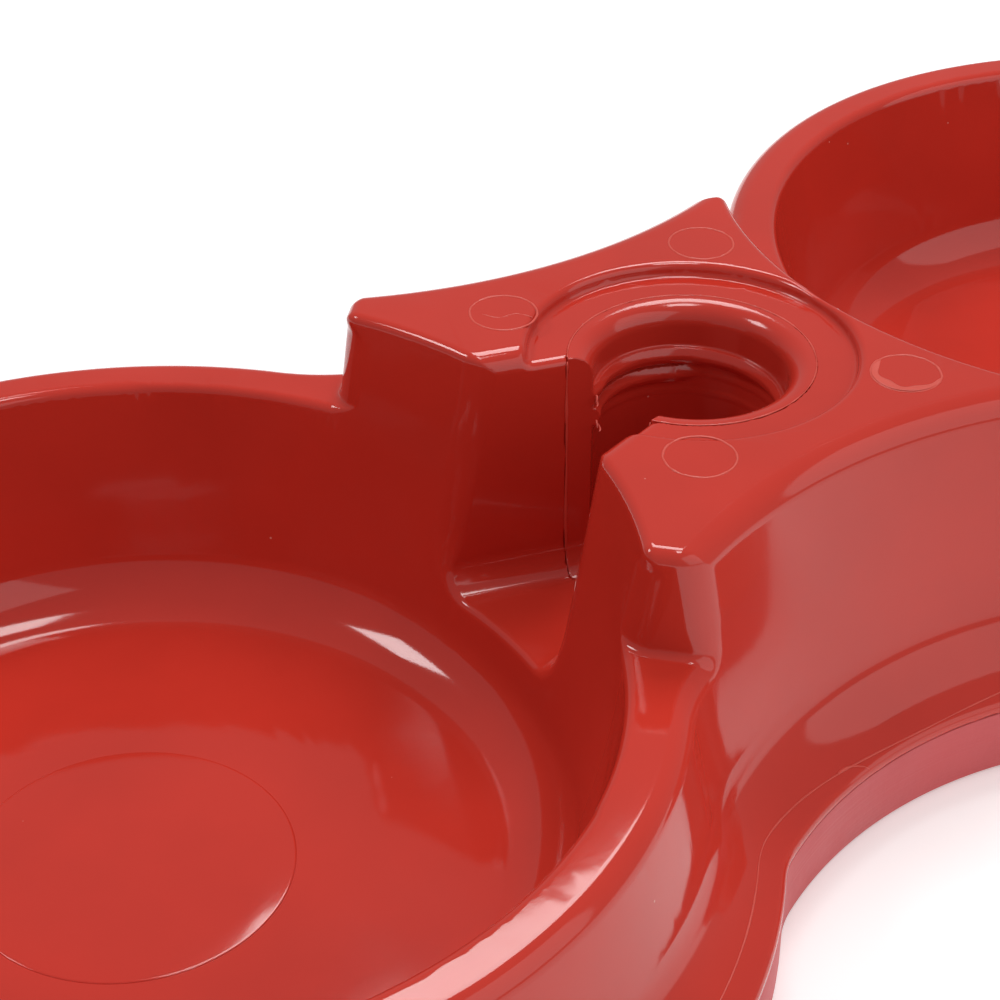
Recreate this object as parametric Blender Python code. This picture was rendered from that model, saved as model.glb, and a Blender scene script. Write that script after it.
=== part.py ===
"""Double-bowl poultry drinker base: tray, threaded socket collar and foot ring.

Metres, +Z up. The origin is at the middle of the base, on the ground. +X runs
towards the feed bowl, -X towards the water bowl, which the socket's slot opens to.
"""
import math

import bmesh
import bpy

MM = 0.001
GAP = 0.3 * MM                      # clearance between pieces that touch

# --- driving dimensions -------------------------------------------------------
BOWL_X = 99 * MM                    # bowl axes stand at -BOWL_X and +BOWL_X
HUB_X = -5 * MM                     # socket axis
WAIST_Y = 115 * MM                  # axes of the two waist arcs, at +-WAIST_Y

HUB_TOP = 52 * MM
RIM_TOP = 37 * MM
FLOOR_TOP = 3 * MM                  # wetted floor of both bowls
FLANGE_TOP = 11.8 * MM                # narrow ledge above the foot ring
FOOT_HEIGHT = 9.8 * MM
WALL = 2.4 * MM

RIM_OUTER_R = 74 * MM               # bowl rim at RIM_TOP
RIM_INNER_R = 67 * MM
WAIST_R = 80 * MM                   # waist arc at RIM_TOP
BOWL_DRAFT = 0.25                   # run per rise of the bowls' inner walls
SKIRT_DRAFT = 0.20                  # the same for the skirt and the waist
HUB_DRAFT = 0.19                    # and for the hub's faces to the bowls
FLOOR_FILLET = 8 * MM
RIM_ROUND = 2 * MM
FLANGE_FILLET = 9 * MM
FLANGE_REACH = 13.8 * MM            # flange edge beyond the rim outline
FLANGE_ROUND = 0.8 * MM
FOOT_WIDTH = 3 * MM

HUB_WATER_R = 69.5 * MM             # radius of the hub's concave face to the water bowl
HUB_WATER_X = -100.5 * MM           # centre of that face's top edge
HUB_FEED_R = 71 * MM                # the same towards the feed bowl
HUB_FEED_X = 90.5 * MM
HUB_SIDE_R = WAIST_R + SKIRT_DRAFT * (HUB_TOP - RIM_TOP) + 0.05 * MM
TIP_DRAFT = 0.05
WATER_TIP = (math.radians(137), 49.8 * MM)     # direction and reach of the arms
FEED_TIP = (math.radians(49), 45 * MM)
WATER_SPREAD = 24 * MM              # how far the arms run on along the bowls under the rim
FEED_SPREAD = 12 * MM

RECESS_R = 23.5 * MM
RECESS_DEPTH = 2 * MM
COLLAR_R = 17.7 * MM
BORE_R = 14 * MM
LIP_R = 3 * MM                      # rounding from the collar's top into its bore
SLOT_FLOOR = 15 * MM
SLOT_HALF = 8.4 * MM                # half width where the slot meets the collar
SLOT_FLARE = 0.30                   # half width gained per length towards the bowl
SLOT_DRAFT = 0.06
SLOT_REACH = 60 * MM                # length of the slot's cutter from the socket axis

THREAD_PITCH = 3.2 * MM
THREAD_TURNS = 1.25
THREAD_DEPTH = 1.0 * MM
THREAD_ROOT = 0.5 * MM              # how far the ridge is sunk into the bore wall
THREAD_TOP = 43 * MM
THREAD_START = math.radians(128.3)
THREAD_STEPS = 48                   # per turn

BOWL_STEPS = 72
ARC_STEPS = 12


# --- scene and helpers --------------------------------------------------------
def clear_scene():
    for obj in list(bpy.context.scene.objects):
        bpy.data.objects.remove(obj, do_unlink=True)


def new_collection(name):
    coll = bpy.data.collections.new(name)
    bpy.context.scene.collection.children.link(coll)
    return coll


def material(name, colour, roughness):
    mat = bpy.data.materials.new(name)
    mat.use_nodes = True
    shader = mat.node_tree.nodes["Principled BSDF"]
    shader.inputs["Base Color"].default_value = (*colour, 1.0)
    shader.inputs["Roughness"].default_value = roughness
    shader.inputs["Metallic"].default_value = 0.0
    return mat


def add_object(name, bm, coll, mat=None):
    bmesh.ops.recalc_face_normals(bm, faces=bm.faces)
    mesh = bpy.data.meshes.new(name)
    bm.to_mesh(mesh)
    bm.free()
    mesh.shade_smooth()
    mesh.set_sharp_from_angle(angle=math.radians(32))
    obj = bpy.data.objects.new(name, mesh)
    coll.objects.link(obj)
    if mat:
        mesh.materials.append(mat)
    return obj


def guide(name, bm, coll):
    obj = add_object(name, bm, coll)
    obj.hide_render = True
    obj.display_type = "WIRE"
    return obj


def boolean(target, tool, operation):
    mod = target.modifiers.new(f"{operation.lower()}_{tool.name}", "BOOLEAN")
    mod.operation = operation
    mod.solver = "EXACT"
    mod.object = tool


def arc(cx, cy, radius, start, end, steps):
    """Points on a circle from angle start to angle end, both included."""
    points = []
    for i in range(steps + 1):
        angle = start + (end - start) * i / steps
        points.append((cx + radius * math.cos(angle), cy + radius * math.sin(angle)))
    return points


def loft(sections):
    """Closed solid through (z, outline) sections that share one point count."""
    bm = bmesh.new()
    rings = []
    for z, outline in sections:
        rings.append([bm.verts.new((x, y, z)) for x, y in outline])
    for low, high in zip(rings, rings[1:]):
        for i in range(len(low)):
            j = (i + 1) % len(low)
            bm.faces.new((low[i], low[j], high[j], high[i]))
    bm.faces.new(reversed(rings[0]))
    bm.faces.new(rings[-1])
    return bm


def turned(profile, centre_x):
    """Solid of revolution of (radius, z) points that start and end on the axis."""
    bm = bmesh.new()
    verts = [bm.verts.new((r, 0.0, z)) for r, z in profile]
    edges = [bm.edges.new(pair) for pair in zip(verts, verts[1:])]
    bmesh.ops.spin(bm, geom=verts + edges, cent=(0, 0, 0), axis=(0, 0, 1),
                   angle=math.tau, steps=BOWL_STEPS, use_merge=True, use_duplicate=False)
    bmesh.ops.remove_doubles(bm, verts=bm.verts, dist=1e-6)
    bmesh.ops.translate(bm, vec=(centre_x, 0, 0), verts=bm.verts)
    return bm


# --- outlines -----------------------------------------------------------------
def base_outline(offset):
    """Two round ends joined by concave waists, grown outwards by offset."""
    bowl_r = RIM_OUTER_R + offset
    waist_r = WAIST_R - offset
    span = math.hypot(BOWL_X, WAIST_Y)
    along = (span ** 2 + bowl_r ** 2 - waist_r ** 2) / (2 * span)
    half = math.acos(along / bowl_r)
    towards = math.atan2(WAIST_Y, BOWL_X)
    turn = towards - half                       # where the bowl arc meets the waist arc
    meet_x = -BOWL_X + bowl_r * math.cos(turn)
    meet_y = bowl_r * math.sin(turn)
    waist_turn = math.atan2(WAIST_Y - meet_y, -meet_x)
    points = arc(-BOWL_X, 0, bowl_r, turn, math.tau - turn, BOWL_STEPS * 3 // 4)[:-1]
    points += arc(0, -WAIST_Y, waist_r, math.pi - waist_turn, waist_turn, ARC_STEPS)[:-1]
    points += arc(BOWL_X, 0, bowl_r, turn - math.pi, math.pi - turn, BOWL_STEPS * 3 // 4)[:-1]
    points += arc(0, WAIST_Y, waist_r, -waist_turn, waist_turn - math.pi, ARC_STEPS)[:-1]
    return points


def tip_corner(circle, tip, side):
    """Where an arm's end line, in the quadrant given by side, meets an arc of the hub."""
    (cx, cy, radius), (angle, reach) = circle, tip
    nx, ny = math.cos(angle), math.sin(angle) * side
    to_line = reach + nx * HUB_X - (nx * cx + ny * cy)
    along = math.sqrt(radius ** 2 - to_line ** 2)
    foot_x, foot_y = cx + nx * to_line, cy + ny * to_line
    options = [(foot_x - ny * along, foot_y + nx * along),
               (foot_x + ny * along, foot_y - nx * along)]
    return min(options, key=lambda p: math.hypot(p[0] - HUB_X, p[1]))


def star_arc(circle, start, end):
    cx, cy, radius = circle
    a0 = math.atan2(start[1] - cy, start[0] - cx)
    a1 = math.atan2(end[1] - cy, end[0] - cx)
    if a1 - a0 > math.pi:
        a1 -= math.tau
    if a0 - a1 > math.pi:
        a1 += math.tau
    return arc(cx, cy, radius, a0, a1, ARC_STEPS)


def hub_outline(z, inset=0.0, spread=0):
    """Four-armed star with concave sides, larger lower down by its draft."""
    drop = HUB_TOP - z
    side_drop = min(drop, HUB_TOP - RIM_TOP)
    water = (HUB_WATER_X - HUB_DRAFT * drop, 0, HUB_WATER_R + inset)
    feed = (HUB_FEED_X + HUB_DRAFT * drop, 0, HUB_FEED_R + inset)
    front = (0, -WAIST_Y, HUB_SIDE_R - SKIRT_DRAFT * side_drop + inset)
    back = (0, WAIST_Y, front[2])
    water_tip = (WATER_TIP[0], WATER_TIP[1] + TIP_DRAFT * drop - inset + spread * WATER_SPREAD)
    feed_tip = (FEED_TIP[0], FEED_TIP[1] + TIP_DRAFT * drop - inset + spread * FEED_SPREAD)
    points = []
    for circle, first, last in (
            (water, (water_tip, 1), (water_tip, -1)),
            (front, (water_tip, -1), (feed_tip, -1)),
            (feed, (feed_tip, -1), (feed_tip, 1)),
            (back, (feed_tip, 1), (water_tip, 1))):
        points += star_arc(circle, tip_corner(circle, *first), tip_corner(circle, *last))
    return points


# --- profiles -----------------------------------------------------------------
def skirt_profile():
    """(offset, z) up the outside, with a plug below that the cups are carved from."""
    slant = math.hypot(1, SKIRT_DRAFT)
    lean = math.atan(SKIRT_DRAFT)
    fillet_z = FLANGE_TOP + FLANGE_FILLET
    fillet_x = SKIRT_DRAFT * (RIM_TOP - fillet_z) + FLANGE_FILLET * slant
    round_x = SKIRT_DRAFT * RIM_ROUND - RIM_ROUND * slant
    edge_x = FLANGE_REACH - FLANGE_ROUND
    plug = cavity_profile()[0][0] - 0.2 * MM
    points = [(plug, FLOOR_TOP - WALL - GAP), (plug, FOOT_HEIGHT + GAP)]
    points += [(FLANGE_REACH, FOOT_HEIGHT + GAP)]
    points += arc(edge_x, FLANGE_TOP - FLANGE_ROUND, FLANGE_ROUND, 0, math.pi / 2, 2)
    points += arc(fillet_x, fillet_z, FLANGE_FILLET, -math.pi / 2, -math.pi + lean, 4)
    points += arc(round_x, RIM_TOP - RIM_ROUND, RIM_ROUND, lean, math.pi / 2, 3)
    return points


def cavity_profile():
    """(offset, z) of the open underside, one wall thickness inside the skirt."""
    slant = math.hypot(1, SKIRT_DRAFT)
    lean = math.atan(SKIRT_DRAFT)
    fillet_z = FLANGE_TOP + FLANGE_FILLET
    fillet_x = SKIRT_DRAFT * (RIM_TOP - fillet_z) + FLANGE_FILLET * slant
    radius = FLANGE_FILLET + WALL
    start = -math.asin((fillet_z - FOOT_HEIGHT - GAP) / radius)
    points = arc(fillet_x, fillet_z, radius, -math.pi - start, -math.pi + lean, 4)
    points.insert(0, (points[0][0], -1 * MM))
    top = RIM_TOP - WALL
    points.append((SKIRT_DRAFT * WALL - WALL * slant, top))
    return points


def bowl_profile(grow, top):
    """(radius, z) of a bowl's cone, grown by a wall thickness for its outside."""
    slant = math.hypot(1, BOWL_DRAFT)
    lean = math.atan(BOWL_DRAFT)
    floor = FLOOR_TOP - grow
    fillet = FLOOR_FILLET + grow
    foot_r = RIM_INNER_R - BOWL_DRAFT * (RIM_TOP - FLOOR_TOP)
    fillet_x = foot_r + BOWL_DRAFT * FLOOR_FILLET - FLOOR_FILLET * slant
    top_r = RIM_INNER_R + BOWL_DRAFT * (top - RIM_TOP) + grow * slant
    points = [(0, floor)]
    points += arc(fillet_x, floor + fillet, fillet, -math.pi / 2, -lean, 5)
    points += [(top_r, top), (0, top)]
    return points


def housing_profile():
    """(radius, z) of the solid that is kept round the collar's seat and the recess."""
    low, high = SLOT_FLOOR - WALL, HUB_TOP + 1 * MM
    step = HUB_TOP - RECESS_DEPTH - WALL
    seat_r, recess_r = COLLAR_R + GAP + WALL, RECESS_R + WALL
    return [(0, low), (seat_r, low), (seat_r, step), (recess_r, step), (recess_r, high),
            (0, high)]


# --- cutters ------------------------------------------------------------------
def slot_outline(z, grow):
    """Wedge from the socket axis out through the hub face over the water bowl."""
    half = SLOT_HALF + SLOT_DRAFT * (z - SLOT_FLOOR) + grow
    near = half - SLOT_FLARE * COLLAR_R
    mouth = near + SLOT_FLARE * SLOT_REACH
    mouth_x = HUB_X - SLOT_REACH
    return [(HUB_X, -near), (HUB_X, near), (mouth_x, mouth), (mouth_x, -mouth)]


def slot_wedge(grow, low, high):
    return loft([(z, slot_outline(z, grow)) for z in (low, high)])


def cylinder(radius, low, high):
    return turned([(0, low), (radius, low), (radius, high), (0, high)], HUB_X)


# --- parts --------------------------------------------------------------------
def build_tray(parts, cutters, mat):
    tray = add_object("tray", loft([(z, base_outline(t)) for t, z in skirt_profile()]),
                      parts, mat)
    cavity = guide("underside", loft([(z, base_outline(t)) for t, z in cavity_profile()]),
                   cutters)
    cups = []
    for name, side in (("water", -1), ("feed", 1)):
        cup = guide(f"{name}_cup", turned(bowl_profile(WALL, RIM_TOP - WALL / 2),
                                          side * BOWL_X), cutters)
        bowl = guide(f"{name}_bowl", turned(bowl_profile(0, RIM_TOP + 5 * MM),
                                            side * BOWL_X), cutters)
        boolean(tray, bowl, "DIFFERENCE")
        cups.append(cup)

    hub_levels = ((FLOOR_TOP - 1 * MM, 1), (RIM_TOP - 0.5 * MM, 1), (RIM_TOP, 0), (HUB_TOP, 0))
    hub = guide("hub", loft([(z, hub_outline(z, 0, spread)) for z, spread in hub_levels]),
                cutters)
    boolean(tray, hub, "UNION")

    hollow_levels = (RIM_TOP - 2 * WALL, RIM_TOP, HUB_TOP - WALL)
    hollow = guide("hub_hollow", loft([(z, hub_outline(z, WALL)) for z in hollow_levels]),
                   cutters)
    boolean(cavity, hollow, "UNION")
    housing = guide("socket_housing", turned(housing_profile(), HUB_X), cutters)
    slot_walls = guide("slot_walls",
                       slot_wedge(WALL, SLOT_FLOOR - 1.1 * WALL, HUB_TOP + 2 * MM), cutters)
    boolean(housing, slot_walls, "UNION")
    for keep in (*cups, housing):
        boolean(cavity, keep, "DIFFERENCE")
    boolean(tray, cavity, "DIFFERENCE")

    slot = guide("slot", slot_wedge(0, SLOT_FLOOR, HUB_TOP + 2 * MM), cutters)
    seat = guide("collar_seat", cylinder(COLLAR_R + GAP, SLOT_FLOOR, HUB_TOP + 2 * MM), cutters)
    recess = guide("recess", cylinder(RECESS_R, HUB_TOP - RECESS_DEPTH, HUB_TOP + 2 * MM),
                   cutters)
    for cut in (slot, seat, recess):
        boolean(tray, cut, "DIFFERENCE")
    return slot


def build_collar(parts, cutters, slot, mat):
    low = SLOT_FLOOR + GAP
    high = HUB_TOP - RECESS_DEPTH
    profile = [(BORE_R, low), (COLLAR_R, low), (COLLAR_R, high)]
    profile += arc(BORE_R + LIP_R, high - LIP_R, LIP_R, math.pi / 2, math.pi, 4)
    bm = bmesh.new()
    face = bm.faces.new([bm.verts.new((r, 0, z)) for r, z in profile])
    geom = list(face.verts) + list(face.edges)
    bmesh.ops.delete(bm, geom=[face], context="FACES_ONLY")
    bmesh.ops.spin(bm, geom=geom, cent=(0, 0, 0), axis=(0, 0, 1), angle=math.tau,
                   steps=BOWL_STEPS, use_merge=True, use_duplicate=False)
    bmesh.ops.remove_doubles(bm, verts=bm.verts, dist=1e-6)
    bmesh.ops.translate(bm, vec=(HUB_X, 0, 0), verts=bm.verts)
    collar = add_object("threaded_collar", bm, parts, mat)
    boolean(collar, guide("thread_ridge", thread_ridge(), cutters), "UNION")
    boolean(collar, slot, "DIFFERENCE")


def thread_ridge():
    """Right-hand helical ridge that stands in from the bore wall."""
    root, crest = BORE_R + THREAD_ROOT, BORE_R - THREAD_DEPTH
    half, flat = 0.28 * THREAD_PITCH, 0.05 * THREAD_PITCH
    section = [(root, half), (crest, flat), (crest, -flat), (root, -half)]
    steps = int(THREAD_STEPS * THREAD_TURNS)
    bm = bmesh.new()
    rings = []
    for i in range(steps + 1):
        turn = THREAD_TURNS * i / steps
        angle = THREAD_START - math.tau * turn
        drop = THREAD_PITCH * turn
        rings.append([bm.verts.new((HUB_X + r * math.cos(angle), r * math.sin(angle),
                                    THREAD_TOP + dz - drop)) for r, dz in section])
    for a, b in zip(rings, rings[1:]):
        for i in range(4):
            j = (i + 1) % 4
            bm.faces.new((a[i], a[j], b[j], b[i]))
    bm.faces.new(rings[0])
    bm.faces.new(reversed(rings[-1]))
    return bm


def build_foot_ring(parts, cutters, mat):
    ring = add_object("foot_ring", loft([(z, base_outline(FLANGE_REACH))
                                         for z in (0, FOOT_HEIGHT)]), parts, mat)
    inside = guide("foot_inside", loft([(z, base_outline(FLANGE_REACH - FOOT_WIDTH))
                                        for z in (-1 * MM, FOOT_HEIGHT + 1 * MM)]), cutters)
    boolean(ring, inside, "DIFFERENCE")


def main():
    clear_scene()
    parts = new_collection("double_bowl_drinker_base")
    cutters = new_collection("cutters")
    gloss = material("glossy_red", (0.50, 0.030, 0.020), 0.15)
    insert = material("socket_red", (0.48, 0.030, 0.020), 0.18)
    matte = material("matte_red", (0.50, 0.070, 0.080), 0.65)
    slot = build_tray(parts, cutters, gloss)
    build_collar(parts, cutters, slot, insert)
    build_foot_ring(parts, cutters, matte)


main()
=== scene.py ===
"""Looks of the double-bowl poultry drinker base.

The tray and the collar are moulded as one signed distance field each, in
millimetres, so that every edge and corner has its real rounding. A field is
sampled near its surface only, and its gradient gives the normals. The foot
ring, the marks of the mould and its flash are lofts and tubes.
"""
import math

import bmesh
import bpy
import numpy as np
from mathutils import Matrix, Vector


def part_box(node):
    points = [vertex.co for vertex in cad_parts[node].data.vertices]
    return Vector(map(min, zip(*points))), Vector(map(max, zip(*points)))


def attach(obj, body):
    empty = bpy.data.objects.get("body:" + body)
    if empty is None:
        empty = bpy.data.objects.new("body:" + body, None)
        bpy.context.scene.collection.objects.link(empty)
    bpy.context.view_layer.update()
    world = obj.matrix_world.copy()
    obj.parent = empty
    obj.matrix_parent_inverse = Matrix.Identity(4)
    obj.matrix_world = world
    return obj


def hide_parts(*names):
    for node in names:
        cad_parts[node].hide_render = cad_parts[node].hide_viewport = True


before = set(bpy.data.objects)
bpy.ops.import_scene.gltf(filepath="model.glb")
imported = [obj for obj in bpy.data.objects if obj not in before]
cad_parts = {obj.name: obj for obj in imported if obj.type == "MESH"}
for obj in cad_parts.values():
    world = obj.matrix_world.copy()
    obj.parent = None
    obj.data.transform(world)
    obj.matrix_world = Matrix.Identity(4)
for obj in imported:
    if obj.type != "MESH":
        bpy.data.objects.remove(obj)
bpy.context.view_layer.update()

MM = 0.001
RNG = np.random.default_rng(7)

# --- sizes, in millimetres ----------------------------------------------------
# They are the CAD's, but for the arms' reach and lean and the thread's run, which
# follow the photo a little more closely.
GAP = 0.3
BOWL_X = 99.0
HUB_X = -5.0
WAIST_Y = 115.0
HUB_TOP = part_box("tray")[1][2] / MM
RIM_TOP = 37.0
FLOOR_TOP = 3.0
FLANGE_TOP = 11.8
FOOT_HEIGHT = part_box("foot_ring")[1][2] / MM
SLOT_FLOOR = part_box("threaded_collar")[0][2] / MM - GAP
WALL = 2.4
RIM_OUTER_R = 74.0
WAIST_R = 80.0
BOWL_FOOT_R = 58.5
BOWL_DRAFT = 0.25
SKIRT_DRAFT = 0.20
HUB_DRAFT = 0.19
TIP_DRAFT = 0.10
FLANGE_REACH = 13.8
FLANGE_FILLET = 9.0
FOOT_WIDTH = 3.0
WATER_FACE = (-100.5, 69.5)
FEED_FACE = (90.5, 71.0)
WATER_TIP = (math.radians(137), 50.5)
FEED_TIP = (math.radians(49), 47.0)
RECESS_R = 23.5
RECESS_DEPTH = 2.0
COLLAR_R = 17.7
BORE_R = 14.0
SLOT_HALF = 8.4
SLOT_END = -80.0                     # where the slot ends, inside the water bowl
SLOT_FLARE = 0.30
SLOT_DRAFT = 0.06

# --- sizes of the visible detail ----------------------------------------------
BLEND_R = 30.0                       # fillet between a bowl's round and the waist
SEAM = 0.015                         # visible gap between collar and tray
PIN_R = 4.9
PINS = [(-21.8, 22.8), (14.8, 22.8), (14.8, -22.8), (-21.8, -22.8)]
DISC_R = 22.5
ARM_RUN_ON = 32.0                    # the arms' faces run on along the bowls under the rim
SKIRT_FULLER = 0.4                   # the skirt stands out this much past the CAD's
THREAD_PITCH, THREAD_TOP = 3.2, 43.0
THREAD_START, THREAD_TURNS = math.radians(150), 1.3


# --- distance field helpers ---------------------------------------------------
def round_and(a, b, r):
    """Intersection whose outer edge is rounded to radius r."""
    reach = np.hypot(np.maximum(a + r, 0), np.maximum(b + r, 0))
    return np.minimum(-r, np.maximum(a, b)) + reach


def round_or(a, b, r):
    """Union whose inner corner is filled to radius r."""
    return -round_and(-a, -b, r)


def round_cut(a, b, r):
    return round_and(a, -b, r)


def smooth_step(x, low, high):
    t = np.clip((x - low) / (high - low), 0, 1)
    return t * t * (3 - 2 * t)


# --- plan outline -------------------------------------------------------------
def blend_centre():
    """Centre of the fillet that joins a bowl's round to a waist arc."""
    near, far = RIM_OUTER_R + BLEND_R, WAIST_R - BLEND_R
    span = math.hypot(BOWL_X, WAIST_Y)
    along = (span ** 2 + near ** 2 - far ** 2) / (2 * span)
    aside = math.sqrt(near ** 2 - along ** 2)
    ux, uy = -BOWL_X / span, WAIST_Y / span
    return BOWL_X + ux * along - uy * aside, uy * along + ux * aside


BLEND_X, BLEND_Y = blend_centre()


def base_plan(x, y):
    """Plan distance to the rim outline: two discs, the waist and their fillets."""
    ax, ay = np.abs(x), np.abs(y)
    qx, qy = ax - BLEND_X, ay - BLEND_Y
    disc = np.hypot(ax - BOWL_X, ay) - RIM_OUTER_R
    waist = WAIST_R - np.hypot(ax, ay - WAIST_Y)
    fillet = BLEND_R - np.hypot(qx, qy)
    past_disc = qx * (0 - BLEND_Y) - qy * (BOWL_X - BLEND_X) <= 0
    before_waist = BLEND_X * qy - (BLEND_Y - WAIST_Y) * qx <= 0
    return np.where(past_disc, disc, np.where(before_waist, waist, fillet))


def outline(offset, pitch=1.2):
    """Points round the base, counterclockwise, at an offset from the rim outline."""
    disc_end = math.atan2(BLEND_Y, BLEND_X - BOWL_X)
    waist_end = math.atan2(BLEND_Y - WAIST_Y, BLEND_X)
    quarter = []
    stretches = [((BOWL_X, 0), RIM_OUTER_R + offset, 0, disc_end),
                 ((BLEND_X, BLEND_Y), BLEND_R - offset, disc_end - math.pi, waist_end),
                 ((0, WAIST_Y), WAIST_R - offset, waist_end, -math.pi / 2)]
    for (cx, cy), radius, start, end in stretches:
        steps = math.ceil(abs(end - start) * RIM_OUTER_R / pitch)
        angles = np.linspace(start, end, steps + 1)[:-1]
        quarter += [(cx + radius * math.cos(a), cy + radius * math.sin(a)) for a in angles]
    quarter.append((0, WAIST_Y - WAIST_R + offset))
    q = np.array(quarter)
    half = np.concatenate([q, q[-2::-1] * (-1, 1)])
    return np.concatenate([half, half[-2:0:-1] * (1, -1)])


# --- the tray's shapes --------------------------------------------------------
def bowl(x, y, z, grow=0.0):
    """Inside of both bowls, or their cups when grown by a wall."""
    radius = np.hypot(np.abs(x) - BOWL_X, y)
    side = (radius - BOWL_FOOT_R - BOWL_DRAFT * (z - FLOOR_TOP)) / 1.031 - grow
    return round_and(side, FLOOR_TOP - grow - z, 8 + grow)


def hub_core(x, y, z, run_on=0.0):
    """The hub without its waist sides; run_on lengthens its arms along the bowls."""
    drop = HUB_TOP - z
    ay = np.abs(y)
    ends = []
    for (face_x, face_r), (angle, reach), sign, rounding in (
            (WATER_FACE, WATER_TIP, -1, 3.8), (FEED_FACE, FEED_TIP, 1, 3.4)):
        face = (face_r - np.hypot(x - face_x - sign * HUB_DRAFT * drop, y)) / 1.018
        tip = (x - HUB_X) * math.cos(angle) + ay * math.sin(angle)
        tip = tip - reach - TIP_DRAFT * drop - run_on
        tip = round_and(tip, z - HUB_TOP, 1.9)
        edge = 1.2 + (rounding - 1.2) * smooth_step(drop, 0.5, 4)
        ends.append(round_and(face, tip, edge))
    return np.maximum(*ends)


def slot_side(x, y, z):
    out = HUB_X - x
    half = SLOT_HALF + SLOT_DRAFT * (z - SLOT_FLOOR) + SLOT_FLARE * (out - COLLAR_R)
    return (np.abs(y) - half) / 1.046


def slot(x, y, z, grow=0.0, floor_round=4.5):
    side = np.maximum(slot_side(x, y, z), np.maximum(x - HUB_X, SLOT_END - x)) - grow
    return round_and(side, SLOT_FLOOR - grow - z, floor_round)


def bore(x, y, radius):
    return np.hypot(x - HUB_X, y) - radius


def tray(x, y, z):
    plan = base_plan(x, y)
    core = hub_core(x, y, z)
    side = (plan - SKIRT_DRAFT * (RIM_TOP - z)) / 1.02 - SKIRT_FULLER
    outer_edge = 2.7 + 0.7 * smooth_step(z, 38, 42)
    whole = round_and(side, round_or(z - RIM_TOP, core, 1.1), outer_edge)
    flange = round_and(plan - FLANGE_REACH, z - FLANGE_TOP, 0.9)
    whole = round_or(whole, flange, FLANGE_FILLET)

    cups = bowl(x, y, z, WALL)
    shell = np.minimum(round_and(whole, FOOT_HEIGHT + GAP - z, 0.4),
                       np.maximum(cups, z - RIM_TOP + 1))
    void = round_cut(bowl(x, y, z), hub_core(x, y, z, ARM_RUN_ON), 0.8)
    lip = 1.2 * smooth_step(core, 0.0, 2.0)
    solid = round_cut(shell, void, lip)
    slot_edge = 1.2 + 1.8 * smooth_step(z, SLOT_FLOOR + 1, SLOT_FLOOR + 9)
    solid = round_cut(solid, slot(x, y, z), slot_edge)

    seat_wall = np.minimum(bore(x, y, COLLAR_R + GAP + WALL), slot(x, y, z, WALL))
    housing = np.maximum(seat_wall, SLOT_FLOOR - WALL - z)
    ledge = np.maximum(bore(x, y, RECESS_R + WALL), HUB_TOP - RECESS_DEPTH - WALL - z)
    kept = np.minimum(cups, np.minimum(housing, ledge))
    solid = np.maximum(solid, -round_cut(whole + WALL, kept, 1.0))
    recess = round_and(bore(x, y, RECESS_R), HUB_TOP - RECESS_DEPTH - z, 0.8)
    solid = round_cut(solid, recess, 1.2)
    seat = np.maximum(bore(x, y, COLLAR_R + SEAM), SLOT_FLOOR + SEAM - z)
    return np.maximum(solid, -seat)


# --- the collar's shapes ------------------------------------------------------
def thread(x, y, z):
    """Right-hand ridge in the bore that fades in and out at its ends."""
    angle = np.arctan2(y, x - HUB_X)
    radius = np.hypot(x - HUB_X, y)
    best = np.full_like(radius, 9.0)
    for lap in (0, 1, 2):
        turn = (THREAD_START - angle) / math.tau % 1.0 + lap
        rise = 1.3 * np.clip(np.minimum(turn, THREAD_TURNS - turn) * 20, 0, 1)
        across = np.abs(z - THREAD_TOP + THREAD_PITCH * turn)
        crest = BORE_R - rise + 0.55 * np.maximum(across - 0.25, 0) ** 1.2
        best = np.minimum(best, np.maximum(crest - radius, across - 1.4))
    return best


def collar(x, y, z):
    """Ring with a wide rounded lip, a low step round it and the thread."""
    high = HUB_TOP - RECESS_DEPTH
    outside = round_and(bore(x, y, COLLAR_R), z - high - 0.05, 0.12)
    lip = round_and(-bore(x, y, BORE_R), z - high - 0.05, 3.2)
    ring = np.maximum(np.maximum(outside, lip), SLOT_FLOOR + SEAM - z)
    ridge = np.maximum(thread(x, y, z), bore(x, y, BORE_R + 1))
    solid = round_or(ring, ridge, 0.35)
    return round_cut(solid, slot(x, y, z), 0.12)


# --- meshing of a field -------------------------------------------------------
def gradient(field, points):
    step = 0.02
    out = np.empty_like(points)
    for axis in range(3):
        shift = np.zeros(3)
        shift[axis] = step
        out[:, axis] = (field(*(points + shift).T) - field(*(points - shift).T)) / (2 * step)
    return out


def settle(field, points, rounds, reach):
    """Move points onto the field's surface."""
    for _ in range(rounds):
        value = field(*points.T)
        slope = gradient(field, points)
        size = np.maximum((slope ** 2).sum(1), 0.2)
        move = slope * (value / size)[:, None]
        length = np.sqrt((move ** 2).sum(1))[:, None]
        points = points - move * np.minimum(1, reach / np.maximum(length, 1e-9))
    return points


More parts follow.
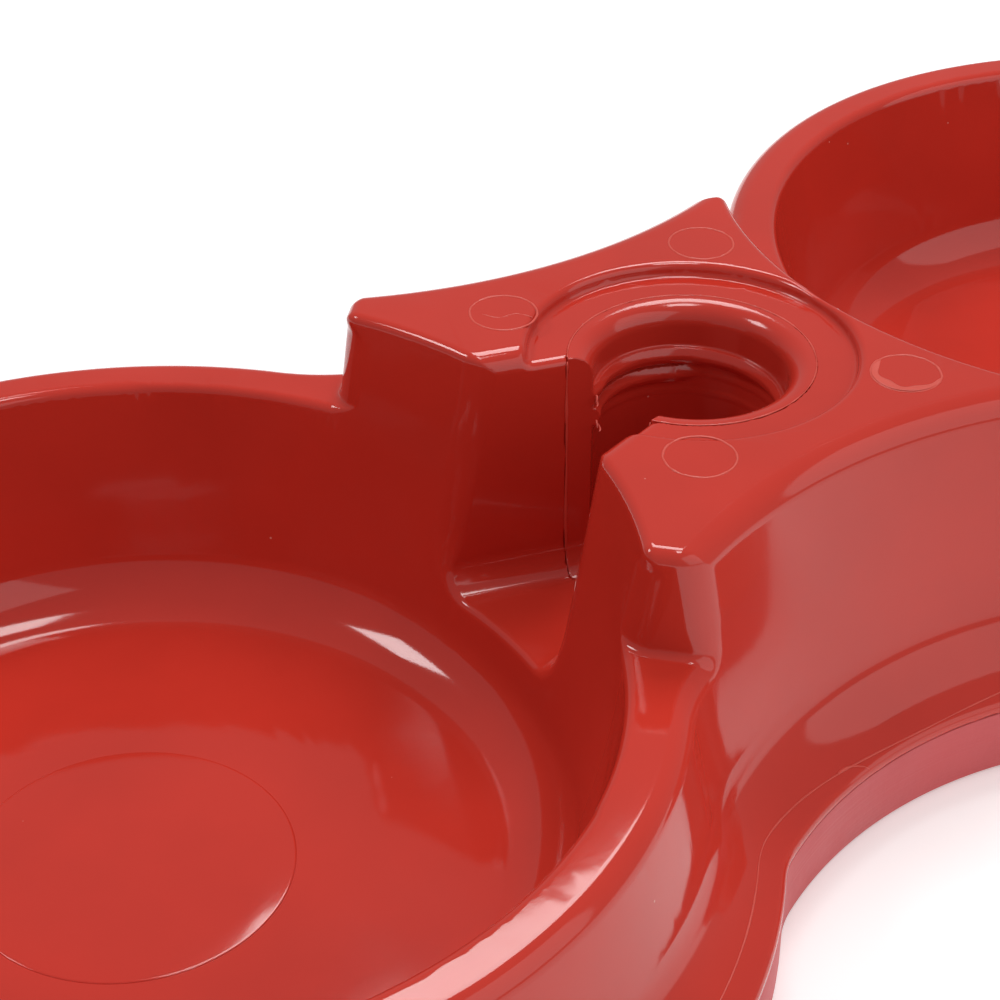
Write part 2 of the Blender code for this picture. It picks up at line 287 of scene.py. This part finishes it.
def sampled(field, xs, ys, zs, block=6, chunk=400000):
    """Field values on a grid, worked out only in blocks that the surface may cross."""
    grids = (xs, ys, zs)
    middles = [np.array([g[i:i + block].mean() for i in range(0, len(g), block)]) for g in grids]
    spans = [np.array([np.ptp(g[max(i - 1, 0):i + block + 1]) for i in range(0, len(g), block)])
             for g in grids]
    rough = field(*np.meshgrid(*middles, indexing="ij"))
    sx, sy, sz = np.meshgrid(*spans, indexing="ij")
    near = np.abs(rough) < 0.75 * np.sqrt(sx ** 2 + sy ** 2 + sz ** 2)
    for axis, g in enumerate(grids):
        near = near.repeat(block, axis).take(range(len(g)), axis)
        rough = rough.repeat(block, axis).take(range(len(g)), axis)
    at = np.nonzero(near)
    found = np.empty(len(at[0]))
    for i in range(0, len(found), chunk):
        part = [a[i:i + chunk] for a in at]
        found[i:i + chunk] = field(xs[part[0]], ys[part[1]], zs[part[2]])
    rough[at] = found
    return rough


def net(values, xs, ys, zs):
    """Surface net of a sampled field: one point for each cell that it crosses."""
    inside = values < 0
    shape = tuple(n - 1 for n in values.shape)

    def corner(array, di, dj, dk):
        return array[di:di + shape[0], dj:dj + shape[1], dk:dk + shape[2]]

    corners = [(i, j, k) for i in (0, 1) for j in (0, 1) for k in (0, 1)]
    count = sum(corner(inside, *c).astype(np.int8) for c in corners)
    cells = np.argwhere((count > 0) & (count < 8))
    index = np.full(shape, -1, np.int32)
    index[tuple(cells.T)] = np.arange(len(cells))
    place = np.zeros((len(cells), 3))
    hits = np.zeros(len(cells))
    grid = (xs, ys, zs)
    for a in corners:
        for axis in range(3):
            if a[axis]:
                continue
            b = tuple(v + (n == axis) for n, v in enumerate(a))
            at_a, at_b = cells + a, cells + b
            va, vb = values[tuple(at_a.T)], values[tuple(at_b.T)]
            cross = (va < 0) != (vb < 0)
            part = np.where(cross, va / np.where(cross, va - vb, 1), 0)
            for n in range(3):
                pa, pb = grid[n][at_a[:, n]], grid[n][at_b[:, n]]
                place[:, n] += np.where(cross, pa + (pb - pa) * part, 0)
            hits += cross
    place /= hits[:, None]

    quads = []
    for axis in range(3):
        u, v = (axis + 1) % 3, (axis + 2) % 3
        low = [slice(1, -1)] * 3
        high = [slice(1, -1)] * 3
        low[axis], high[axis] = slice(0, -1), slice(1, None)
        first, second = inside[tuple(low)], inside[tuple(high)]
        edges = np.argwhere(first != second)
        leaving = first[tuple(edges.T)]
        base = edges + 1
        base[:, axis] -= 1
        ring = []
        for du, dv in ((-1, -1), (0, -1), (0, 0), (-1, 0)):
            at = base.copy()
            at[:, u] += du
            at[:, v] += dv
            ring.append(index[tuple(at.T)])
        ring = np.stack(ring, 1)
        ring[~leaving] = ring[~leaving][:, ::-1]
        quads.append(ring)
    return place, np.concatenate(quads)


def spaced(*stops):
    """Grid lines from (end, spacing) stretches that follow a start."""
    start, *stretches = stops
    lines = [np.array([start])]
    for end, pitch in stretches:
        steps = max(1, round((end - lines[-1][-1]) / pitch))
        lines.append(np.linspace(lines[-1][-1], end, steps + 1)[1:])
    return np.concatenate(lines)


def new_object(name, mesh):
    obj = bpy.data.objects.new(name, mesh)
    bpy.context.scene.collection.objects.link(obj)
    return obj


def moulded(name, field, xs, half_ys, zs, most):
    """Closed mesh of a field that mirrors in y = 0, with at most that many triangles."""
    values = sampled(field, xs, half_ys, zs)
    if half_ys[0] == 0:
        values = np.concatenate([values[:, :0:-1], values], 1)
        half_ys = np.concatenate([-half_ys[:0:-1], half_ys])
    points, quads = net(values, xs, half_ys, zs)
    points = settle(field, points, 3, 0.5)
    mesh = bpy.data.meshes.new(name)
    mesh.from_pydata(points * MM, [], quads)
    mesh.update()
    obj = new_object(name, mesh)
    if 2 * len(quads) > most:
        thin = obj.modifiers.new("thin", "DECIMATE")
        thin.ratio = most / (2 * len(quads))
        graph = bpy.context.evaluated_depsgraph_get()
        mesh = bpy.data.meshes.new_from_object(obj.evaluated_get(graph))
        obj.modifiers.clear()
        obj.data = mesh
    mesh.shade_smooth()
    points = np.empty(len(mesh.vertices) * 3)
    mesh.vertices.foreach_get("co", points)
    points = settle(field, points.reshape(-1, 3) / MM, 2, 0.1)
    slope = gradient(field, points)
    mesh.vertices.foreach_set("co", (points * MM).ravel())
    mesh.update()
    mesh.normals_split_custom_set_from_vertices(slope / np.sqrt((slope ** 2).sum(1))[:, None])
    return obj


# --- lofts and tubes ----------------------------------------------------------
def loft(name, rings, closed=True):
    """Mesh through rings of points in mm; closed joins the last ring to the first."""
    count, size = len(rings), len(rings[0])
    faces = []
    for i in range(count if closed else count - 1):
        a, b = i * size, (i + 1) % count * size
        faces += [(a + j, a + (j + 1) % size, b + (j + 1) % size, b + j) for j in range(size)]
    if not closed:
        faces.append(tuple(range(size))[::-1])
        faces.append(tuple((count - 1) * size + j for j in range(size)))
    mesh = bpy.data.meshes.new(name)
    mesh.from_pydata(np.concatenate(rings) * MM, [], faces)
    bm = bmesh.new()
    bm.from_mesh(mesh)
    bmesh.ops.recalc_face_normals(bm, faces=bm.faces)
    bm.to_mesh(mesh)
    bm.free()
    mesh.shade_smooth()
    return new_object(name, mesh)


def tube(name, path, radii, closed, up=(0, 0, 1), sides=8, flat=0.7):
    """Bead along a path; radii may change from point to point."""
    path = np.array(path, float)
    ahead = np.roll(path, -1, 0) - np.roll(path, 1, 0)
    if not closed:
        ahead[0], ahead[-1] = path[1] - path[0], path[-1] - path[-2]
    ahead /= np.linalg.norm(ahead, axis=1)[:, None]
    across = np.cross(ahead, up)
    across /= np.linalg.norm(across, axis=1)[:, None]
    rise = np.cross(across, ahead)
    turns = np.arange(sides) * math.tau / sides
    rings = [p + r * (np.outer(np.cos(turns), a) + flat * np.outer(np.sin(turns), u))
             for p, r, a, u in zip(path, np.broadcast_to(radii, len(path)), across, rise)]
    return loft(name, rings, closed)


def circle(cx, cy, z, radius, count=160):
    turns = np.arange(count) * math.tau / count
    return np.stack([cx + radius * np.cos(turns), cy + radius * np.sin(turns),
                     np.full(count, z)], 1)


def ragged(count, low, high, closed=True, smooth=5):
    """Slowly changing random widths."""
    noise = RNG.random(count)
    for _ in range(smooth):
        noise = (np.roll(noise, 1) + noise + np.roll(noise, -1)) / 3
    noise = (noise - noise.min()) / np.ptp(noise)
    if not closed:
        noise[0] = noise[-1] = 0
    return low + (high - low) * noise


def joined(name, pieces):
    bm = bmesh.new()
    for piece in pieces:
        bm.from_mesh(piece.data)
        mesh = piece.data
        bpy.data.objects.remove(piece)
        bpy.data.meshes.remove(mesh)
    mesh = bpy.data.meshes.new(name)
    bm.to_mesh(mesh)
    bm.free()
    mesh.shade_smooth()
    return new_object(name, mesh)


# --- materials ----------------------------------------------------------------
class Nodes:
    """Short forms for the nodes that the plastics share."""

    def __init__(self, name):
        self.material = bpy.data.materials.new(name)
        self.material.use_nodes = True
        self.tree = self.material.node_tree
        self.shader = self.tree.nodes["Principled BSDF"]
        self.object = self.tree.nodes.new("ShaderNodeTexCoord").outputs["Object"]

    def link(self, source, target):
        self.tree.links.new(source, target)

    def noise(self, scale, detail, stretch=None, rough=0.5):
        node = self.tree.nodes.new("ShaderNodeTexNoise")
        node.inputs["Scale"].default_value = scale
        node.inputs["Detail"].default_value = detail
        node.inputs["Roughness"].default_value = rough
        vector = self.object
        if stretch:
            mapping = self.tree.nodes.new("ShaderNodeMapping")
            mapping.inputs["Scale"].default_value = stretch
            self.link(vector, mapping.inputs["Vector"])
            vector = mapping.outputs["Vector"]
        self.link(vector, node.inputs["Vector"])
        return node.outputs["Fac"]

    def range(self, value, from_low, from_high, to_low, to_high):
        node = self.tree.nodes.new("ShaderNodeMapRange")
        for key, number in (("From Min", from_low), ("From Max", from_high),
                            ("To Min", to_low), ("To Max", to_high)):
            node.inputs[key].default_value = number
        self.link(value, node.inputs["Value"])
        return node.outputs["Result"]

    def mix(self, factor, a, b):
        node = self.tree.nodes.new("ShaderNodeMix")
        node.data_type = "RGBA"
        self.link(factor, node.inputs["Factor"])
        for key, colour in (("A", a), ("B", b)):
            if isinstance(colour, tuple):
                node.inputs[key].default_value = (*colour, 1)
            else:
                self.link(colour, node.inputs[key])
        return node.outputs["Result"]

    def bump(self, height, strength, distance, normal=None):
        node = self.tree.nodes.new("ShaderNodeBump")
        node.inputs["Strength"].default_value = strength
        node.inputs["Distance"].default_value = distance
        self.link(height, node.inputs["Height"])
        if normal:
            self.link(normal, node.inputs["Normal"])
        return node.outputs["Normal"]


def plastic(name, colour, roughness, grain_bump, streak=0.0):
    """Moulded plastic: flow clouds, sparse dust, slow waviness and grain."""
    n = Nodes(name)
    deep = tuple(c * 0.90 for c in colour)
    cloud = n.range(n.noise(30, 4), 0.35, 0.65, 0, 1)
    tint = n.mix(cloud, deep, colour)
    cells = n.tree.nodes.new("ShaderNodeTexVoronoi")
    cells.inputs["Scale"].default_value = 110
    n.link(n.object, cells.inputs["Vector"])
    dust = n.range(cells.outputs["Distance"], 0.022, 0.012, 0, 0.6)
    tint = n.mix(dust, tint, (0.80, 0.45, 0.38))
    n.link(tint, n.shader.inputs["Base Color"])

    grain = n.noise(700, 4, rough=0.6)
    smear = n.noise(45, 5)
    rough = n.range(smear, 0.3, 0.7, roughness * 0.8, roughness * 1.3)
    n.link(rough, n.shader.inputs["Roughness"])
    normal = n.bump(n.noise(24, 2), 0.16, 0.0005)
    normal = n.bump(grain, grain_bump, 0.00005, normal)
    if streak:
        normal = n.bump(n.noise(1, 3, (30, 30, 2400)), streak, 0.00012, normal)
    n.link(normal, n.shader.inputs["Normal"])
    return n.material


def set_up(obj, mat):
    obj.data.materials.clear()
    obj.data.materials.append(mat)
    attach(obj, "root")
    return obj


GLOSS = plastic("glossy_red_plastic", (0.56, 0.034, 0.020), 0.07, 0.10)
SOCKET = plastic("socket_red_plastic", (0.56, 0.036, 0.022), 0.12, 0.15)
MATTE = plastic("matte_red_plastic", (0.60, 0.085, 0.090), 0.5, 0.8, streak=0.6)
FLASH = plastic("flash_red_plastic", (0.66, 0.075, 0.050), 0.35, 0.3)


# --- tray and collar ----------------------------------------------------------
def add_tray():
    coarse = 1.0
    far, hub, wide = 0.68 * coarse, 0.5 * coarse, 1.5
    end_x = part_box("tray")[1][0] / MM + wide
    end_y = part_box("tray")[1][1] / MM + wide
    xs = spaced(-end_x, (-50, far), (34, hub), (end_x, far))
    ys = spaced(0, (48, hub), (end_y, far))
    zs = spaced(-1, (9, 1.0 * coarse), (14, 0.4 * coarse), (34, 0.7 * coarse),
                (38, 0.45 * coarse), (48, 0.6 * coarse), (HUB_TOP + 1, 0.4 * coarse))
    piece = moulded("tray_moulding", tray, xs, ys, zs, 198000)
    set_up(piece, GLOSS)
    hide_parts("tray")


def add_collar():
    pitch = 0.28
    reach = COLLAR_R + 1
    xs = spaced(HUB_X - reach, (HUB_X + reach, pitch))
    ys = spaced(-reach, (reach, pitch))
    zs = spaced(SLOT_FLOOR - 1, (HUB_TOP, pitch))
    piece = moulded("socket_collar", collar, xs, ys, zs, 120000)
    set_up(piece, SOCKET)
    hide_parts("threaded_collar")


def on_top(points, z):
    """The tray's surface straight below plan points, as points in space."""
    points = np.array(points)
    height = np.full(len(points), float(z))
    for _ in range(60):
        height -= 0.8 * tray(points[:, 0], points[:, 1], height)
    return np.column_stack([points, height])


# --- foot ring ----------------------------------------------------------------
def add_foot_ring():
    """Matte band round the base, with small roundings, that closes up to the flange."""
    high, edge, steps = FOOT_HEIGHT + 0.28, 0.18, 3
    corners = [(FLANGE_REACH, high, 0), (FLANGE_REACH - FOOT_WIDTH, high, 90),
               (FLANGE_REACH - FOOT_WIDTH, 0, 180), (FLANGE_REACH, 0, 270)]
    rings = []
    for offset, z, turn in corners:
        for i in range(steps + 1):
            a = math.radians(turn + 90 * i / steps)
            across = offset - edge * (1 if offset == FLANGE_REACH else -1) + edge * math.cos(a)
            rise = z - edge * (1 if z else -1) + edge * math.sin(a)
            points = outline(across)
            rings.append(np.column_stack([points, np.full(len(points), rise)]))
    set_up(loft("foot_band", rings), MATTE)
    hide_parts("foot_ring")


def add_parting_line():
    """Thin witness line of the mould along the flange, with a small burr."""
    edge, spread = FLANGE_REACH - 0.8, 2.9
    inner = outline(edge - spread)
    outer = outline(edge)
    lean = smooth_step(np.abs(inner[:, 0]), 0, 34)[:, None]
    points = outer + (inner - outer) * lean
    path = on_top(points, FLANGE_TOP + 4)
    pieces = [tube("skirt_line", path, ragged(len(path), 0.07, 0.19), True)]
    start = path[np.argmin(np.hypot(points[:, 0] + 16, points[:, 1] + 52))][:2]
    t = np.linspace(0, 1, 16)[:, None]
    burr = on_top(start + t * (5.0, -1.2) + np.sin(3 * t) * (0, 0.9), FLANGE_TOP + 4)
    pieces.append(tube("skirt_burr", burr, 0.22 * (1 - t[:, 0] ** 3) + 0.01, False))
    set_up(joined("skirt_line", pieces), FLASH)


# --- marks of the mould -------------------------------------------------------
def add_pin_marks():
    """Thin flash rings that the mould's pins leave on the hub."""
    pieces = []
    for i, (x, y) in enumerate(PINS):
        path = circle(x, y, HUB_TOP - 0.03, PIN_R)
        wobble = ragged(len(path), -0.05, 0.05)
        path[:, :2] += (path[:, :2] - (x, y)) / PIN_R * wobble[:, None]
        pieces.append(tube(f"pin_ring_{i}", path, ragged(len(path), 0.14, 0.24), True))
    t = np.linspace(-1, 1, 40)
    x, y = PINS[0]
    sway = 0.6 * np.sin(4 * t)
    wave = np.column_stack([x + 3.0 * t + 0.5 * sway, y - 1.0 - 2.1 * t + 0.8 * sway,
                            np.full(len(t), HUB_TOP - 0.02)])
    pieces.append(tube("pin_wave", wave, ragged(len(t), 0.04, 0.14, False), False))
    set_up(joined("pin_marks", pieces), FLASH)


def add_flap():
    """Film of flash that has curled up inside one of the pin marks."""
    x, y = PINS[2]
    rows, columns = 7, 36
    start, sweep = math.radians(95), math.radians(215)
    rings = []
    for j in range(columns + 1):
        s = j / columns
        angle = start + sweep * s
        width = 1.5 * math.sin(math.pi * s) ** 0.6 * (1 + 0.2 * math.sin(19 * s)) + 0.05
        top, low = [], []
        for i in range(rows):
            u = i / (rows - 1)
            radius = PIN_R - 0.05 - width * u
            lift = 0.2 * math.sin(math.pi * s) * (1 - u) ** 2 * (1 + 0.25 * math.sin(11 * s))
            point = (x + radius * math.cos(angle), y + radius * math.sin(angle))
            top.append((*point, HUB_TOP + 0.02 + lift))
            low.append((*point, HUB_TOP - 0.09 + lift))
        rings.append(np.array(top + low[::-1]))
    flap = loft("pin_flap", rings, closed=False)
    set_up(flap, FLASH)


def seam_path():
    """Along one slot wall's seam, round the recess floor and down the other wall."""
    floor = HUB_TOP - RECESS_DEPTH

    def wall_point(z):
        out = COLLAR_R
        for _ in range(6):
            half = SLOT_HALF + SLOT_DRAFT * (z - SLOT_FLOOR) + SLOT_FLARE * (out - COLLAR_R)
            out = math.sqrt(COLLAR_R ** 2 - half ** 2)
        return out, half

    rising = [(HUB_X - out, half, z) for z in np.linspace(SLOT_FLOOR + 0.5, floor - 0.4, 60)
              for out, half in [wall_point(z)]]
    out, half = wall_point(floor)
    turn = math.atan2(half, -out)
    ring = [(HUB_X + COLLAR_R * math.cos(a), COLLAR_R * math.sin(a), floor + 0.04)
            for a in np.linspace(turn - 0.03, 0.03 - turn, 260)]
    falling = [(x, -y, z) for x, y, z in rising[::-1]]
    return rising, ring, falling


def add_seam_flash():
    rising, ring, falling = seam_path()
    pieces = [tube("seam_ring", ring, ragged(len(ring), 0.05, 0.16, False), False)]
    for i, path in enumerate((rising, falling)):
        path = np.array(path)
        path[:, 0] += ragged(len(path), -0.07, 0.07, smooth=9)
        widths = ragged(len(path), 0.10, 0.28, False)
        pieces.append(tube(f"seam_wall_{i}", path, widths, False, up=(0, 1, 0)))
    set_up(joined("socket_flash", pieces), FLASH)


def add_burrs():
    """Torn slivers where the thread's two ridges end at the slot."""
    pieces = []
    for i, lap in enumerate((0.02, 1.0)):
        angle = THREAD_START - math.tau * lap
        z = THREAD_TOP - THREAD_PITCH * lap
        for j in range(3):
            t = np.linspace(0, 1, 14)
            turn = angle + 0.03 * j + t * (0.08 + 0.04 * RNG.random())
            radius = BORE_R - 0.5 - 0.5 * np.sin(math.pi * t) * RNG.random()
            path = np.column_stack([HUB_X + radius * np.cos(turn), radius * np.sin(turn),
                                    z + 0.4 - 0.4 * j * t + 0.2 * np.sin(5 * t + j)])
            thick = 0.15 * np.sin(math.pi * np.clip(t, 0.03, 0.97))
            pieces.append(tube(f"burr_{i}_{j}", path, thick, False))
    set_up(joined("thread_burrs", pieces), FLASH)


def add_bowl_discs():
    """Low round marks of the mould's inserts in the middle of both bowls."""
    for name, side in (("water", -1), ("feed", 1)):
        top, edge = FLOOR_TOP + 0.16, 0.35
        profile = [(DISC_R, FLOOR_TOP - 0.3)]
        for i in range(5):
            a = math.pi / 2 * i / 4
            profile.append((DISC_R - edge + edge * math.cos(a), top - 0.16 + 0.16 * math.sin(a)))
        profile += [(DISC_R * f, top) for f in (0.75, 0.5, 0.25, 0.02)]
        rings = [circle(side * BOWL_X, 0, z, r, 180) for r, z in profile]
        set_up(loft(f"{name}_bowl_disc", rings, closed=False), GLOSS)


# --- camera, light and floor --------------------------------------------------
def look(location, target):
    direction = Vector(target) - Vector(location)
    quat = direction.to_track_quat("-Z", "Y")
    return Matrix.Translation(location) @ quat.to_matrix().to_4x4()


def add_camera():
    data = bpy.data.cameras.new("photo_camera")
    data.lens = 86.6
    data.sensor_width = 36
    data.clip_start = 0.01
    cam = bpy.data.objects.new("photo_camera", data)
    bpy.context.scene.collection.objects.link(cam)
    target = Vector((-36.4, 2.55, 36.3)) * MM
    azimuth, elevation, distance = math.radians(-34.7), math.radians(34.8), 0.337
    back = Vector((math.sin(azimuth) * math.cos(elevation),
                   -math.cos(azimuth) * math.cos(elevation), math.sin(elevation)))
    cam.matrix_world = look(target + back * distance, target)
    bpy.context.scene.camera = cam


def softbox(name, location, target, width, height, power):
    data = bpy.data.lights.new(name, "AREA")
    data.shape = "RECTANGLE"
    data.size, data.size_y = width, height
    data.energy = power
    lamp = bpy.data.objects.new(name, data)
    lamp.matrix_world = look(location, target)
    bpy.context.scene.collection.objects.link(lamp)


def add_stage():
    bm = bmesh.new()
    bmesh.ops.create_grid(bm, x_segments=2, y_segments=2, size=4)
    mesh = bpy.data.meshes.new("floor")
    bm.to_mesh(mesh)
    bm.free()
    floor = new_object("floor", mesh)
    floor.location.z = -0.0002
    mat = bpy.data.materials.new("pale_floor")
    mat.use_nodes = True
    shader = mat.node_tree.nodes["Principled BSDF"]
    shader.inputs["Base Color"].default_value = (0.98, 0.98, 0.98, 1)
    shader.inputs["Roughness"].default_value = 0.7
    shader.inputs["Emission Color"].default_value = (1, 1, 1, 1)
    shader.inputs["Emission Strength"].default_value = 0.18
    mesh.materials.append(mat)
    world = bpy.data.worlds.new("studio")
    world.use_nodes = True
    world.node_tree.nodes["Background"].inputs["Color"].default_value = (1, 1, 1, 1)
    world.node_tree.nodes["Background"].inputs["Strength"].default_value = 0.34
    bpy.context.scene.world = world
    bpy.context.scene.view_settings.view_transform = "Standard"


add_camera()
add_stage()
softbox("overhead", (0.08, -0.05, 1.0), (0, 0, 0.03), 0.22, 0.22, 1.5)
softbox("left_back", (-0.62, 0.45, 0.85), (0, 0, 0.03), 0.3, 0.24, 2.4)
softbox("back", (0.34, 0.38, 0.93), (0, 0, 0.03), 0.42, 0.42, 4.4)
softbox("right_front", (0.45, -1.05, 0.75), (0, 0, 0.03), 1.6, 1.3, 6.0)
add_tray()
add_collar()
add_foot_ring()
add_parting_line()
add_pin_marks()
add_flap()
add_seam_flash()
add_burrs()
add_bowl_discs()
